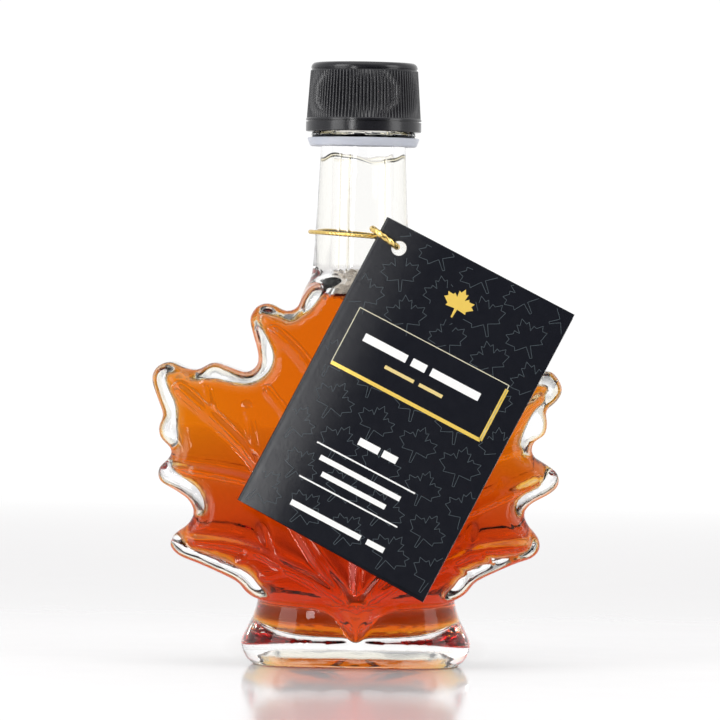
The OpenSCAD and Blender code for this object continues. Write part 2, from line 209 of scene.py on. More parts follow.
left_rim = [
    [0.8, -10.4], [3.2, -5.4], [6.6, -2.3], [12, -1.4], [19, -0.9], [22.6, -0.2],
    [25, 1.2], [27, 3.4], [31, 5.4], [36, 7.5], [40.4, 9.2],
    [42.5, 11.5], [41.6, 14], [38.6, 16.3], [37.3, 19], [38.7, 21.9], [42.2, 24.2],
    [45.2, 26], [45.5, 28.8], [43.2, 31.2], [42.8, 33.2], [45.2, 35.7], [45.7, 38.2],
    [44.8, 41], [46, 44.5], [47.4, 48.8], [46.5, 51.7], [43.4, 53.1], [40, 51.8],
    [37, 51.4], [33.5, 53.1], [30, 52.2], [26, 51], [23.5, 52.6], [23.3, 55.5],
    [24.6, 60.2], [25.2, 63.4], [23.4, 66.2], [20.5, 66.7], [17, 65.1], [14.4, 66.1],
    [13, 69], [9, 71.5]]
right_rim = [
    [0.8, -10.4], [3.2, -5.4], [6.6, -2.3], [12, -1.4], [19, -0.9], [22.6, 0.2],
    [25, 1.8], [27, 4.2], [31, 6.3], [36, 8.5], [40, 10],
    [41.6, 12.3], [40.9, 14.8], [38.8, 17.3], [37.9, 19.8], [39.5, 22], [43.8, 24.4],
    [45.7, 26.4], [45.4, 29], [42.6, 31.1], [39.8, 33], [39.9, 35.8], [42.4, 37.7],
    [43, 40.4], [42.7, 43.2], [44.9, 45.2], [46.3, 47.8], [45.3, 50.5], [43, 52.3],
    [37.4, 51.3], [33.5, 53.1], [30, 52.2], [26, 51], [23.5, 52.6],
    [23.3, 55.5], [24.6, 60.2], [25.2, 63.4], [23.4, 66.2], [20.5, 66.7], [17, 65.1],
    [14.4, 66.1], [13, 69], [9, 71.5]]
left_hollow = [
    [14, -1], [21.2, 1.4], [24.6, 4.6], [30.5, 7.6], [36.5, 9.6], [40, 11.8],
    [39.4, 14.6], [36.2, 16.8], [35, 19.6], [36.6, 23.4], [40.2, 26.2], [42, 28.6],
    [41.3, 32.5], [42, 38], [42.3, 43], [44.2, 47.4], [44.7, 49.9], [43.4, 51], [40.6, 50.3],
    [37, 49.3], [33, 49.9], [29, 49], [25, 48.7], [21.5, 50.8], [20.1, 54.5], [21.4, 58.5],
    [23.2, 62.4], [22.8, 64.5], [20.2, 64.3], [16, 63], [12, 65.6], [6.5, 71]]
right_hollow = [
    [14, -1], [21.2, 1.8], [24.6, 5.4], [30.5, 8.4], [36, 10], [39.4, 12.4],
    [38.8, 15], [36.6, 17.6], [36, 20.4], [37.6, 23.6], [41.6, 26], [43.2, 27.8],
    [40.8, 30.4], [37.8, 32.6], [37.2, 35.6], [38.6, 39.6], [40, 43.6], [42, 46.2],
    [43.6, 47.8], [42.9, 49.3], [40.4, 49.5], [37, 49.2], [33, 49.9], [29, 49], [25, 48.7],
    [21.5, 50.8], [20.1, 54.5], [21.4, 58.5], [23.2, 62.4], [22.8, 64.5], [20.2, 64.3],
    [16, 63], [12, 65.6], [6.5, 71]]
# A vein is [half width, height, points]. The strong ones meet at the stem's root.
root = [0, -2]
veins = [
    [1.4, 0.8, [root, [-8.5, 3.4], [-16, 7], [-22, 10.2], [-29, 12.2], [-37, 12.8]]],
    [1.4, 0.8, [root, [8.5, 3.4], [16, 6.6], [22, 9.2], [28, 11.6], [38, 12.8]]],
    [1.4, 0.85, [root, [-8.5, 8], [-17, 21], [-26.4, 34], [-41, 47]]],
    [1.4, 0.85, [root, [7.5, 7], [16, 20], [26, 31], [41, 46.4]]],
    [1.25, 0.75, [[-12.5, 14], [-19, 23.5], [-27, 26.9], [-41.5, 29.2]]],
    [1.25, 0.75, [[11, 12], [17, 16.6], [26, 20.4], [40.6, 27]]],
    [1.25, 0.75, [[-4, 38], [-12.4, 53], [-19.6, 60.4]]],
    [1.25, 0.75, [[4, 38], [12.4, 53], [19.6, 60.4]]],
    [1.3, 0.7, [root, [0, 62]]]]
twigs = [
    [[-35.1, 47.9], [-33.6, 42.2]], [[-25.7, 43], [-24, 34.2]], [[-21.2, 47], [-14.5, 38.5]],
    [[-21.9, 16.2], [-19.4, 9.6]], [[-26.5, 8.6], [-23, 10.4]], [[-21, 5.1], [-15.5, 6.4]],
    [[26.2, 16.7], [24.8, 11]], [[31, 9], [26.5, 11]], [[24.8, 6.2], [20.5, 8]],
    [[33.3, 27.1], [31.6, 23.2]], [[36.2, 34.2], [29, 31.6]], [[25.7, 43], [24, 32]]]
veins += [[0.95, 0.5, t] for t in twigs]
print(f"leaf {leaf_w} mm wide, {low_depth} mm deep at the belly, {len(veins)} veins")

# %% [markdown]
# ## The glass as a field
# Blown glass has no hard seams: leaf, foot and neck melt into one another. Solids joined edge to edge
# would show creases there. A field of distances does not: it is negative inside the glass, and two
# shapes are joined with a soft blend. First come flat maps over the leaf: how far each place is from
# the rim, from the edge of the hollow, and how high the veins stand.

# %% Flat maps of the leaf
def curve(points, steps, closed):
    """A Catmull-Rom curve through the points."""
    p = np.array(points, float)
    n = len(p)
    ends = range(n) if closed else range(n - 1)
    out = []
    for i in ends:
        a, b, c, d = (p[(i + k) % n] if closed else p[min(max(i + k, 0), n - 1)] for k in (-1, 0, 1, 2))
        for t in np.arange(steps) / steps:
            bend = (2 * a - 5 * b + 4 * c - d) * t ** 2 + (3 * b - a - 3 * c + d) * t ** 3
            out.append(0.5 * (2 * b + (c - a) * t + bend))
    return np.array(out if closed else out + [p[-1]])


def outline(left, right):
    return curve([[-x, foot_h + z] for x, z in left] + [[x, foot_h + z] for x, z in right[::-1]], 5, True)


map_step = 0.35
map_x = np.arange(-54, 54, map_step)
map_z = np.arange(2, 98, map_step)
MX, MZ = (m.astype(np.float32) for m in np.meshgrid(map_x, map_z, indexing="ij"))


def distance_map(line, closed):
    """Distance from each place on the map to the line, less than nothing inside a closed one."""
    best = np.full(MX.shape, 1e9, np.float32)
    inside = np.zeros(MX.shape, bool)
    ends = np.roll(line, -1, 0) if closed else line[1:]
    for (ax, az), (bx, bz) in zip(line, ends):
        dx, dz = bx - ax, bz - az
        t = np.clip(((MX - ax) * dx + (MZ - az) * dz) / (dx * dx + dz * dz), 0, 1)
        best = np.minimum(best, (MX - ax - t * dx) ** 2 + (MZ - az - t * dz) ** 2)
        if closed and az != bz:
            crossed = ((az > MZ) != (bz > MZ)) & (MX < ax + (MZ - az) / dz * dx)
            inside ^= crossed
    return np.where(inside, -1, 1) * np.sqrt(best)


def blur(m, times):
    for _ in range(times):
        m = (m + np.roll(m, 1, 0) + np.roll(m, -1, 0)) / 3
        m = (m + np.roll(m, 1, 1) + np.roll(m, -1, 1)) / 3
    return m


def look(m, x, z):
    """Reads a map between its points."""
    i = np.clip((x - map_x[0]) / map_step, 0, len(map_x) - 1.001)
    k = np.clip((z - map_z[0]) / map_step, 0, len(map_z) - 1.001)
    i0, k0 = i.astype(int), k.astype(int)
    u, w = i - i0, k - k0
    return ((m[i0, k0] * (1 - u) + m[i0 + 1, k0] * u) * (1 - w)
            + (m[i0, k0 + 1] * (1 - u) + m[i0 + 1, k0 + 1] * u) * w)


rim_map = blur(distance_map(outline(left_rim, right_rim), True), 3)
hollow_map = blur(distance_map(outline(left_hollow, right_hollow), True), 3) + 0.5
ridge_map = np.zeros(MX.shape, np.float32)
for half, high, line in veins:
    line = curve([[x, foot_h + z] for x, z in line], 5, False)
    d = distance_map(line, False) / half
    ridge_map = np.maximum(ridge_map, high * np.clip(1 - d * d, 0, 1) ** 1.5)
ridge_map = blur(ridge_map, 1)
print("map", rim_map.shape, "deepest point of the leaf", round(float(-rim_map.min()), 1), "mm from the rim")

# %% [markdown]
# The leaf is a slab with rounded edges, deep over the belly and shallow above. The foot is a soft
# oval that widens just above the table, and the neck is a slightly tapered tube.

# %% Fields
def slab(dist, y, half, r):
    a, b = dist + r, np.abs(y) - half + r
    return np.minimum(np.maximum(a, b), 0) + np.hypot(np.maximum(a, 0), np.maximum(b, 0)) - r


def melt(a, b, k):
    """Soft union of two fields."""
    h = np.clip(0.5 + 0.5 * (b - a) / k, 0, 1)
    return b * (1 - h) + a * h - k * h * (1 - h)


def table(pairs, soft):
    """A size that changes with height, with its corners smoothed over soft mm."""
    z = np.arange(-5, 145, 0.1)
    v = np.interp(z, *zip(*pairs))
    w = int(soft / 0.1) | 1
    v = np.convolve(np.pad(v, w // 2, "edge"), np.ones(w) / w, "valid")
    return lambda q: np.interp(q, z, v)


def oval(x, y, w, d, blunt=2.7):
    return ((np.abs(x / w) ** blunt + np.abs(y / d) ** blunt + 1e-9) ** (1 / blunt) - 1) * np.minimum(w, d)


def half_depth(x, z):
    t = np.clip(1 - (z - foot_h) / belly_top, 0, 1)
    return (high_depth + (low_depth - high_depth) * t * t * (3 - 2 * t)) / 2 - crown * (2 * x / leaf_w) ** 2


# Half widths and half depths by height: the foot, the neck's radius, and the hollow inside the foot
foot_w = table([(0, 23.4), (0.9, 24.8), (3.3, 26.1), (5.2, 26.4), (7.8, 25.3), (10.7, 23.8), (13.7, 22.8),
    (16, 22.6), (20, 21.3)], 1.2)
foot_d = table([(0, 13.4), (0.8, 15.0), (2.4, 17.2), (4.2, 18.5), (5.4, 18.75), (7.8, 18.2), (10.7, 17.3),
    (13.7, 16.8), (16, 16.7), (20, 15.6)], 1.2)
neck_r = table([(80, 11.6), (86, 11.5), (91, 11.2), (95, 10.9), (106, 10.3), (117, 9.8), (121, 9.7)], 3)
cellar_w = table([(5.8, 14), (6.6, 17.6), (8.4, 19.8), (12, 20.4), (16, 20.4), (20, 20)], 1.0)
cellar_d = table([(5.8, 8.4), (6.6, 10.8), (8.4, 12.3), (12, 12.9), (16, 13.2), (20, 12.6)], 1.0)


def outer(x, y, z):
    leaf = slab(look(rim_map, x, z), y, half_depth(x, z) + look(ridge_map, x, z), rim_round)
    foot = np.maximum(oval(x, y, foot_w(z), foot_d(z)), z - 19)
    rho = np.hypot(x, y)
    neck = np.maximum(rho - neck_r(z), np.maximum(78 - z, z - finish_top))
    finish = slab(rho - finish_r, z - (cap_z + finish_top) / 2, (finish_top - cap_z) / 2 + 0.7, 0.6)
    bead = slab(rho - bead_r, z - (bead_z + cap_z) / 2, (cap_z - bead_z) / 2, 0.6)
    f = melt(leaf, foot, 1.0)
    f = melt(f, neck, 4.0)
    f = np.minimum(f, np.minimum(finish, bead))
    return np.maximum(f, -z)


def inner(x, y, z):
    leaf = slab(look(hollow_map, x, z), y, half_depth(x, z) - wall, 2.4)
    cellar = np.maximum(oval(x, y, cellar_w(z), cellar_d(z)), np.maximum(floor_z - z, z - 19))
    bore = np.maximum(np.hypot(x, y) - bore_r, 80 - z)
    return melt(melt(leaf, cellar, 1.5), bore, 3.0)


def glass(x, y, z):
    return np.maximum(outer(x, y, z), -inner(x, y, z))


belly = np.array([[0.0], [0.0], [foot_h + 10.0]])
print("wall at the belly:", round(float(inner(*belly)[0] - outer(*belly)[0]), 1), "mm")


# %% [markdown]
# Only a mesh can be rendered, so a net of squares is drawn round the zero of the field. Every small
# cube that the surface passes through gets one point, and neighbours are joined. A few careful steps
# down the field's slope then lay each point exactly on the surface, which keeps the glass smooth.

# %% Net round a field
def surface_net(field, low, high, cell):
    axes = [np.arange(a, b + cell, cell) for a, b in zip(low, high)]
    v = field(*np.meshgrid(*axes, indexing="ij"))
    n = np.array(v.shape) - 1
    total, hits = np.zeros((*n, 3)), np.zeros(n)
    for a in range(3):
        b, c = (k for k in range(3) if k != a)
        for db in (0, 1):
            for dc in (0, 1):
                s0 = [slice(0, n[k]) for k in range(3)]
                s0[b], s0[c] = slice(db, n[b] + db), slice(dc, n[c] + dc)
                s1 = list(s0)
                s1[a] = slice(1, n[a] + 1)
                v0, v1 = v[tuple(s0)], v[tuple(s1)]
                cut = (v0 < 0) != (v1 < 0)
                total[..., a] += np.where(cut, v0 / np.where(cut, v0 - v1, 1), 0)
                total[..., b] += cut * db
                total[..., c] += cut * dc
                hits += cut
    used = hits > 0
    index = np.full(n, -1)
    index[used] = np.arange(used.sum())
    base = np.stack([axes[k][np.nonzero(used)[k]] for k in range(3)], -1)
    points = base + cell * total[used] / hits[used][:, None]
    faces = []
    for a in range(3):
        b, c = (a + 1) % 3, (a + 2) % 3
        s0 = [slice(1, n[k]) for k in range(3)]
        s0[a] = slice(0, n[a])
        s1 = list(s0)
        s1[a] = slice(1, n[a] + 1)
        i0, i1 = v[tuple(s0)] < 0, v[tuple(s1)] < 0
        at = np.array(np.nonzero(i0 != i1))
        outwards = i0[tuple(at)]
        at[b] += 1
        at[c] += 1
        ring = []
        for db, dc in ((0, 0), (1, 0), (1, 1), (0, 1)):
            q = at.copy()
            q[b] += db - 1
            q[c] += dc - 1
            ring.append(index[tuple(q)])
        ring = np.array(ring).T
        faces += ring[outwards].tolist() + ring[~outwards][:, ::-1].tolist()
    return points, faces


def settle(field, p, times=3, h=0.08, most=0.25):
    """Moves each point along the field's slope onto its zero, at most so many mm a step."""
    for _ in range(times):
        f = field(*p.T)
        slope = np.stack([(field(*(p + h * e).T) - field(*(p - h * e).T)) / (2 * h) for e in np.eye(3)], -1)
        step = (f / np.maximum((slope * slope).sum(-1), 0.2))[:, None] * slope
        size = np.linalg.norm(step, axis=1, keepdims=True)
        p = p - step * np.minimum(1, most / np.maximum(size, 1e-9))
    return p


# %% [markdown]
# ## The glass
# The whole bottle is one piece: its outer field with the hollow taken out. The glass is pure
# transmission with a very faint waviness, as moulded glass has. Its tint is lowered so that the studio's
# reflections stay fainter than the light that comes through.

# %% Glass
clear_glass = material("clear_glass", (1.0, 1.0, 1.0), 0.0,
    {"Transmission Weight": 1.0, "IOR": 1.5, "Specular Tint": (0.4, 0.4, 0.4)},
    bump=(lambda t: noise(t, 55, 2.0, 0.4), 0.25, 0.0006))
glass_cell = 0.7
points, faces = surface_net(glass, (-50, -22, -2), (50, 22, 138), glass_cell)
points = settle(glass, points)
points[:, 2] = np.maximum(points[:, 2], 0)
bottle = piece("glass_bottle", points, faces, clear_glass, replaces="bottle")
crease(bottle, 50)
print("glass spans", points.min(0).round(1), points.max(0).round(1))

# %% [markdown]
# ## The syrup
# The syrup is the hollow itself, grown a hair's breadth into the wall so that no air shows between
# them, and cut off at its level. Its colour comes only from how much light each millimetre of it takes
# away: little red, more green, all the blue. So thin parts look golden and deep parts red, as in a jar.

# %% Syrup
into_wall = 0.15
syrup_mat = material("syrup", (1, 1, 1), 0.0,
    {"Transmission Weight": 1.0, "IOR": 1.46, "Specular Tint": (0.0, 0.0, 0.0)},
    bump=(lambda t: noise(t, 30, 1.0, 0.4), 0.1, 0.0004),
    volume=((0.961, 0.770, 0.0), 500.0))


def syrup_field(x, y, z):
    f = inner(x, y, z)
    climb = 0.9 * np.exp(np.clip(f, -6, 0) / 0.7)      # the edge creeps up the glass
    return np.maximum(f - into_wall, z - fill_z - climb)


syrup_cell = 0.8
points, faces = surface_net(syrup_field, (-48, -20, 5), (48, 20, 88), syrup_cell)
points = settle(syrup_field, points)
syrup = piece("syrup_fill", points, faces, syrup_mat, replaces="syrup")
crease(syrup, 45)


# %% [markdown]
# ## Turned pieces
# The cap, the collar, the cord and the film of syrup in the neck all go round something. One small
# function lays rings of points into a skin that is closed both ways. Another spins a profile, as on a
# lathe, and can change the radius from point to point, which is how the cap gets its ribs.

# %% Laying rows
def skin(rows):
    """Faces between rings of equally many points, and from the last ring back to the first."""
    n, faces = len(rows[0]), []
    for r in range(len(rows)):
        s = (r + 1) % len(rows)
        faces += [[r * n + i, r * n + (i + 1) % n, s * n + (i + 1) % n, s * n + i] for i in range(n)]
    return [p for row in rows for p in row], faces


def turned(profile, n, radius=None):
    """A closed profile of (r, z) spun about Z; radius(r, angle, k) may change each point."""
    rows = []
    for k, (r, z) in enumerate(profile):
        a = np.arange(n) * 2 * math.pi / n
        rr = radius(r, a, k) if radius else np.full(n, r)
        rows.append(np.stack([rr * np.cos(a), rr * np.sin(a), np.full(n, z)], -1))
    bm = to_bmesh(*skin(rows))
    bmesh.ops.remove_doubles(bm, verts=bm.verts, dist=1e-5)
    bmesh.ops.dissolve_degenerate(bm, edges=bm.edges, dist=1e-6)
    return from_bmesh(bm)


# %% [markdown]
# The cap is moulded with fine ribs for the fingers. Below them runs a smooth band that stays on the
# neck when the cap is first turned, with a thin slit between the two. Its whole section is drawn as one
# profile, from the inside at the bottom, up the skirt and over the top. Each point says how deep the
# ribs cut there.

# %% Cap
cap_profile, ribbed = [], []


def cap_point(r, z, rib=0.0):
    cap_profile.append((r, z))
    ribbed.append(rib)


skirt_low, skirt_top = cap_z + band_h, cap_z + cap_h - 1.9
cap_point(11.35, cap_z)
cap_point(cap_r - 0.15, cap_z)
cap_point(cap_r, cap_z + 0.15)
slit_low, slit_high, slit_deep = 2.2, 2.5, 0.5
for z in (2.1, slit_low):
    cap_point(cap_r, cap_z + z)
cap_point(cap_r - slit_deep, cap_z + slit_low)
cap_point(cap_r - slit_deep, cap_z + slit_high)
for z in (slit_high, 2.6, 2.9):
    cap_point(cap_r, cap_z + z)
cap_point(cap_r - 0.1, skirt_low)
for t in np.linspace(0, 1, 7):
    z = skirt_low + 0.1 + (skirt_top - skirt_low - 0.1) * t
    cap_point(cap_r - 0.15 - 0.75 * t, z, min(1, 4 * t + 0.2, 12 * (1 - t) + 0.1))
# A shallow groove, then the rounded shoulder and a slightly dished top
shoulder_r, shoulder_round = cap_top_r + 0.02, 1.2
cap_point(shoulder_r, skirt_top + 0.15)
cap_point(cap_top_r - 0.12, skirt_top + 0.25)
cap_point(cap_top_r - 0.12, skirt_top + 0.45)
cap_point(shoulder_r, skirt_top + 0.6)
for a in np.radians([0, 12, 25, 38, 50, 62, 75, 90]):
    cap_point(shoulder_r - shoulder_round * (1 - math.cos(a)),
        cap_z + cap_h - shoulder_round * (1 - math.sin(a)))
for r in (10.4, 9.8, 6, 2, 0):
    cap_point(r, cap_z + cap_h - (0.18 if r < 10 else 0))
cap_point(0, finish_top)
cap_point(11.35, finish_top)
rib_n, rib_deep = 96, 0.34


def rib(r, a, k):
    return r - rib_deep * ribbed[k] * (0.5 - 0.5 * np.cos(a * rib_n)) ** 2


black_plastic = material("black_plastic",
    lambda t: mix(t, noise(t, 900, 2.0), (0.006, 0.006, 0.008), (0.012, 0.012, 0.015)),
    lambda t: noise(t, 400, 3.0) * 0.14 + 0.16,
    {"Specular IOR Level": 0.4},
    bump=(lambda t: noise(t, 2600, 2.0), 0.12, 0.00005))
points, faces = turned(cap_profile, rib_n * 8, rib)
cap = piece("screw_cap", points, faces, black_plastic, replaces="cap")
crease(cap, 40)

# %% [markdown]
# The collar is a ring of milky plastic under the glass bead. Its section flares a little upward and
# has a rounded lip. Light soaks into it, so it looks pale blue-grey rather than white.

# %% Collar
milky = material("milky_plastic",
    lambda t: mix(t, noise(t, 250, 2.0), (0.66, 0.70, 0.80), (0.78, 0.81, 0.88)),
    lambda t: noise(t, 300, 2.0) * 0.1 + 0.28,
    {"Transmission Weight": 0.35, "IOR": 1.45})
collar_profile = [(9.85, collar_z), (11.9, collar_z), (12.15, collar_z + 0.1), (12.3, collar_z + 0.35),
    (12.55, collar_z + 0.9), (12.8, bead_z - 0.4), (12.85, bead_z - 0.2), (12.7, bead_z - 0.04),
    (12.5, bead_z), (9.85, bead_z)]
points, faces = turned(collar_profile, 128)
collar = piece("collar_ring", points, faces, milky, replaces="collar")
crease(collar, 50)

# %% [markdown]
# Syrup that has been up the neck leaves a film far thinner than a hair, with a thicker wavy line where
# it stopped and a few narrow runs down the wall. The film is a closed skin that reaches just into the
# wall: rings go up its outside, and back down its inside. The top of it gets more rings, because that
# is where its thickness changes fastest.

# %% Film of syrup in the neck
film_in_wall = 0.03


def film(name, low, high, edge, thick, waves, drips=()):
    """waves are (height, how many, shift) of the upper edge; drips are (degrees round, thickness)."""
    n = 480
    a = np.arange(n) * 2 * math.pi / n
    runs = sum(h * np.exp(-((a - math.radians(at)) / 0.03) ** 2) for at, h in drips)
    wave = sum(h * np.sin(k * a + s) for h, k, s in waves)
    rows = []
    steps = np.append(np.linspace(0, 0.9, 10), np.linspace(0.92, 1, 16))
    for side, heights in ((0, steps), (1, steps[::-1])):
        for t in heights:
            z = low + (high - low + wave) * t
            bulge = edge * np.exp(-((high + wave - 0.5 - z) / 0.35) ** 2) + runs
            in_by = (thick * (0.6 + 0.4 * np.sin(2 * a + 1)) + bulge) * (1 if 0 < t < 1 else 0.4)
            r = bore_r + film_in_wall - side * (film_in_wall + in_by)
            rows.append(np.stack([r * np.cos(a), r * np.sin(a), z * np.ones(n)], -1))
    points, faces = from_bmesh(to_bmesh(*skin(rows)))
    o = piece(name, points, faces, syrup_mat)
    crease(o, 40)
    return o


film("neck_film", 90.0, 116.6, 0.22, 0.012, [(0.5, 2, 0.4), (0.35, 3, 2.0), (0.15, 7, 1.0)],
    [(229, 0.14), (311, 0.14), (246, 0.2), (40, 0.05), (12, 0.08)])
film("bead_film", 119.4, 122.0, 0.2, 0.2, [(0.2, 5, 0.4), (0.12, 9, 2.0)])

# %% [markdown]
# A little froth stays where the syrup meets the glass below the neck. Bubbles are dropped at random
# and kept only where they lie clear of the glass and hardly touch one another. They are heaped up to
# five deep on one side. All of them are one mesh.

# %% Froth
bubble_mat = material("froth", (1, 0.95, 0.88), 0.05, {"Transmission Weight": 0.8, "IOR": 1.12},
    bump=(lambda t: noise(t, 900, 1.0), 0.1, 0.0001))
bm = bmesh.new()
placed = []
for _ in range(3000):
    if len(placed) >= 150:
        break
    a = random.uniform(0, 2 * math.pi)
    r = random.triangular(0.45, 1.45, 0.8)
    reach = random.triangular(2.0, 8.4, 8.0)
    x, y = reach * math.cos(a), reach * math.sin(a)
    layer = random.choice([0, 0, 1, 2, 3, 4]) if x < 1 else 0
    z = fill_z + 0.35 + layer * 1.0 + random.uniform(-0.15, 0.4)
    spot = np.array([[x, y, z]])
    if inner(*spot.T)[0] > -r * 0.8:
        continue
    if any((x - p[0]) ** 2 + (y - p[1]) ** 2 + (z - p[2]) ** 2 < (0.93 * (r + p[3])) ** 2 for p in placed):
        continue
    placed.append((x, y, z, r))
    bmesh.ops.create_icosphere(bm, subdivisions=3, radius=r, matrix=Matrix.Translation((x, y, z)))
points, faces = from_bmesh(bm)
piece("froth_bubbles", points, faces, bubble_mat)
print(len(placed), "bubbles")

# %% [markdown]
# ## Gold cord
# The cord is three strands twisted together and covered in gold thread. One loop goes round the neck,
# and a short thicker one passes round it and through the tag's hole. A ring of round sections does
# both: each section has three soft lobes, and turning them along the ring makes the twist.

# %% Cord rings
loop_t, loop_r = 1.0, 12.8
loop_x, loop_y, loop_z, loop_tilt = 0.9, -1.25, 98.4, 4.0
link_x, link_t, link_r, link_turn = 5.2, 1.5, 3.45, 36.0
cord_y = loop_y - math.sqrt(loop_r ** 2 - (link_x - loop_x) ** 2)
link_z = loop_z - (link_x - loop_x) * math.tan(math.radians(loop_tilt))
link_y = cord_y + loop_t / 2 + link_t / 2 + 0.95 - link_r


def cord_ring(big, small, turns, depth, n, m, place):
    rows = []
    for i in range(n):
        a = 2 * math.pi * i / n
        row = []
        for j in range(m):
            b = 2 * math.pi * j / m
            r = small - depth * (0.5 - 0.5 * math.cos(3 * b + turns * a))
            out = big + r * math.cos(b)
            row.append(place @ Vector((out * math.cos(a), out * math.sin(a), r * math.sin(b))))
        rows.append(row)
    return from_bmesh(to_bmesh(*skin(rows)))


def gold(name, a, b, low, high):
    return material(name, lambda t: mix(t, noise(t, 1400, 2.0), a, b),
        lambda t: noise(t, 1100, 2.0) * (high - low) + low, {"Metallic": 1.0},
        bump=(lambda t: noise(t, 2400, 2.0), 0.25, 0.00006))


gold_cord = gold("gold_cord", (0.62, 0.40, 0.09), (0.93, 0.70, 0.26), 0.16, 0.34)
gold_metal = gold("gold_metal", (0.66, 0.43, 0.10), (0.95, 0.72, 0.28), 0.12, 0.3)
place = Matrix.Translation((loop_x, loop_y, loop_z)) @ Matrix.Rotation(math.radians(loop_tilt), 4, "Y")
points, faces = cord_ring(loop_r, loop_t / 2, 78, 0.09, 780, 18, place)
piece("neck_cord", points, faces, gold_cord, replaces="neck_loop")
place = Matrix.Translation((link_x, link_y, link_z)) @ Matrix.Rotation(math.radians(link_turn), 4, "Y")
points, faces = cord_ring(link_r, link_t / 2, 14, 0.12, 240, 36, place)
piece("tag_link", points, faces, gold_metal, replaces="link")

# %% [markdown]
# ## The folded tag
# A strip of black card is folded once, with the fold on the left. It is drawn as the strip's outer
# face, from the back leaf's open edge round the fold to the front's, and given thickness after its
# normals are set. The front leaf bows a little near the fold and the back leaf hangs a hair lower at its
# open edge. The hole is punched through both. Cut edges show the pale core of the card.

# %% Card
tag_w, tag_h, card_t, hole_in, hole_d = 47.4, 72.6, 0.4, 5.1, 3.5
hole_out = link_r + (hole_d - link_t) / 2 - 0.4
hole_x = link_x + hole_out * math.cos(math.radians(link_turn))
hole_z = link_z - hole_out * math.sin(math.radians(link_turn))
tag_y = link_y - 0.8
tag_turn, tag_yaw = 27, -3
half_fold, fold_bow, back_drop = 0.65, 1.1, 0.9
back_columns, rows_down = 14, 25
# The tag leans back until it rests near the belly
tag_lean = math.degrees(math.atan((low_depth / 2 - 0.7 + tag_y) / (hole_z - foot_h - 0.35 * belly_top)))
tag_place = (Matrix.Translation((hole_x, tag_y, hole_z)) @ Matrix.Rotation(math.radians(-tag_lean), 4, "X")
    @ Matrix.Rotation(math.radians(tag_turn), 4, "Y") @ Matrix.Rotation(math.radians(tag_yaw), 4, "Z"))


def front_y(u):
    """Where the front leaf's face stands, u mm from the fold."""
    return -(half_fold + fold_bow * math.sin(math.pi / 2 * min(1, 3.2 * max(0, u) / tag_w)))


path = [(u, half_fold) for u in np.linspace(tag_w, 0, back_columns)]
path += [(-half_fold * math.sin(a), half_fold * math.cos(a)) for a in np.radians([30, 60, 90, 120, 150])]
path += [(u, front_y(u)) for u in np.linspace(0, tag_w, 40)]
bm = bmesh.new()
columns = []
for k, (u, y) in enumerate(path):
    drop = back_drop * u / tag_w if k < back_columns else 0.0
    columns.append([bm.verts.new((u - hole_in, y, hole_in - tag_h * v - drop))
        for v in np.linspace(0, 1, rows_down)])
for c, d in zip(columns, columns[1:]):
    for i in range(rows_down - 1):
        bm.faces.new([c[i], d[i], d[i + 1], c[i + 1]])
bmesh.ops.recalc_face_normals(bm, faces=bm.faces)
front = max(bm.faces, key=lambda f: -f.calc_center_median().y)
if front.normal.y > 0:
    bmesh.ops.reverse_faces(bm, faces=bm.faces)
bmesh.ops.solidify(bm, geom=bm.faces[:] + bm.edges[:] + bm.verts[:], thickness=card_t)
points, faces = from_bmesh(bm)
black_card = material("black_card",
    lambda t: mix(t, noise(t, 700, 4.0), (0.0040, 0.0048, 0.0085), (0.0062, 0.0070, 0.0115)),
    lambda t: noise(t, 500, 3.0) * 0.1 + 0.19,
    {"Specular IOR Level": 0.3},
    bump=(lambda t: noise(t, 1500, 4.0), 0.15, 0.00008))
card_edge = material("card_edge",
    lambda t: mix(t, noise(t, 900, 3.0), (0.55, 0.55, 0.54), (0.75, 0.75, 0.74)), 0.8)
tag = piece("folded_tag", points, faces, black_card, smooth=False, ride=False)

# %% [markdown]
# A hole through a folded strip is easiest as a cut: a round punch is taken away from the flat-lying
# card, and only then is the card moved to its place. Faces of the cut edges get the pale core.

# %% The hole and the cut edges
bm = bmesh.new()
bmesh.ops.create_cone(bm, cap_ends=True, segments=64, radius1=hole_d / 2 * MM, radius2=hole_d / 2 * MM,
    depth=12 * MM, matrix=Matrix.Rotation(math.pi / 2, 4, "X"))
punch_mesh = bpy.data.meshes.new("punch")
bm.to_mesh(punch_mesh)
bm.free()
punch = bpy.data.objects.new("punch", punch_mesh)
bpy.context.scene.collection.objects.link(punch)
cut = tag.modifiers.new("punch", "BOOLEAN")
cut.operation, cut.object, cut.solver = "DIFFERENCE", punch, "EXACT"
bpy.context.view_layer.update()
holed = bpy.data.meshes.new_from_object(tag.evaluated_get(bpy.context.evaluated_depsgraph_get()))
tag.modifiers.clear()
tag.data = holed
bpy.data.objects.remove(punch)
tag.data.materials.clear()
tag.data.materials.append(black_card)
tag.data.materials.append(card_edge)
bm = bmesh.new()
bm.from_mesh(tag.data)
for f in bm.faces:
    c, n = f.calc_center_median() / MM, f.normal
    side = abs(n.z) > 0.9 or (n.x > 0.9 and c.x > tag_w - hole_in - 1)
    f.material_index = 1 if side or math.hypot(c.x, c.z) < hole_d / 2 + 0.05 and abs(n.y) < 0.5 else 0
    f.smooth = abs(n.y) > 0.3 or c.x < -hole_in + 1
bmesh.ops.transform(bm, matrix=Matrix.Scale(1 / MM, 4), verts=bm.verts)
bmesh.ops.transform(bm, matrix=tag_place, verts=bm.verts)
bmesh.ops.transform(bm, matrix=Matrix.Scale(MM, 4), verts=bm.verts)
bm.to_mesh(tag.data)
bm.free()
crease(tag, 40)
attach(tag, "root")
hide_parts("tag")
print("tag", len(tag.data.polygons), "faces, leans", round(tag_lean, 2), "degrees")

